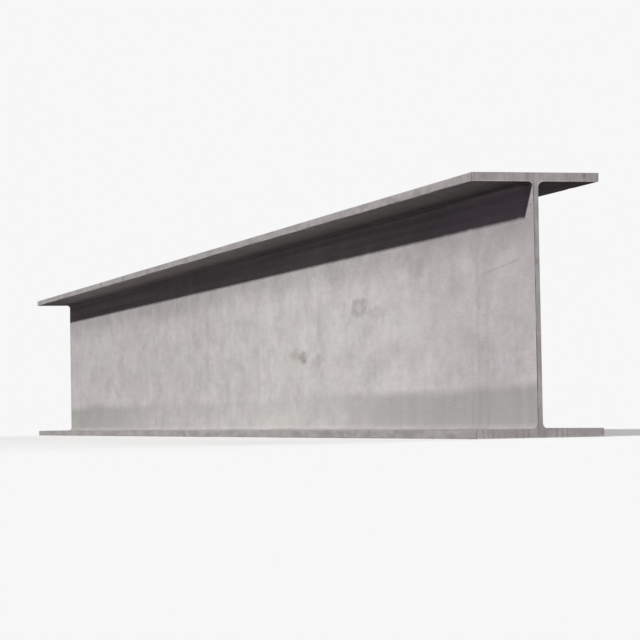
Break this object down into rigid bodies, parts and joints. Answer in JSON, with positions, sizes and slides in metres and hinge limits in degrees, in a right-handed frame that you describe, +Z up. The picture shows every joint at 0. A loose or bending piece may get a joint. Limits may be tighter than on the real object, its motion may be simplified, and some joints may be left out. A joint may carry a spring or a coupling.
{
  "type": "steel h-beam",
  "caption": "Hot-rolled steel H-beam with parallel flanges, a central web and root fillets, sawn square to a stock length.",
  "frame": {"origin": "middle of the bottom flange's underside, half way along the length, on the floor that the beam lies on", "axes": "+Y along the beam, +X across the flanges, +Z up the web"},
  "size_m": [0.3, 6, 0.588],
  "materials": {
    "mill_steel": "dusty mill scale, as rolled"
  },
  "bodies": {
    "root": {"h_beam": "mill_steel"}
  },
  "joints": []
}
